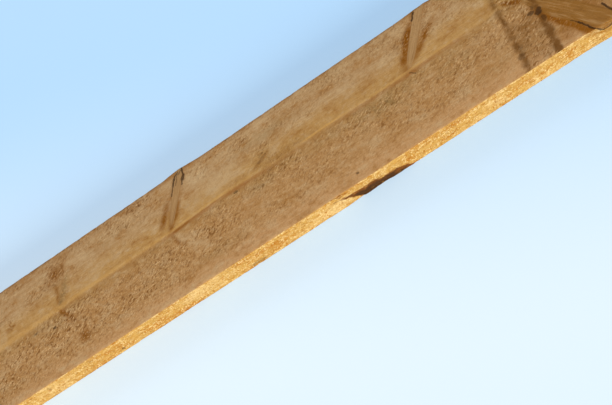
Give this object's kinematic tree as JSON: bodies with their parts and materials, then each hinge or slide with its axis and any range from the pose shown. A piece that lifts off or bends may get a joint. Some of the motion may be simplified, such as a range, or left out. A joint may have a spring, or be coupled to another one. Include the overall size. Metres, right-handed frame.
{
  "type": "sawn timber roof rafter",
  "caption": "Rough-sawn softwood roof rafter with the pith along one wide face, spike knots and a patch of wane on one arris.",
  "frame": {"origin": "middle of the flat wide face that the rafter lies on, at half its length and on the centreline of its sawn width", "axes": "+X along the grain towards the top of the tree, +Y across the width towards the narrow face that carries the battens, +Z through the thickness, out of the wide face that shows the pith"},
  "size_m": [3, 0.1482, 0.045],
  "materials": {
    "sawn_softwood": "rough sawn, unplaned and untreated"
  },
  "bodies": {
    "root": {"rafter": "sawn_softwood"}
  },
  "joints": []
}
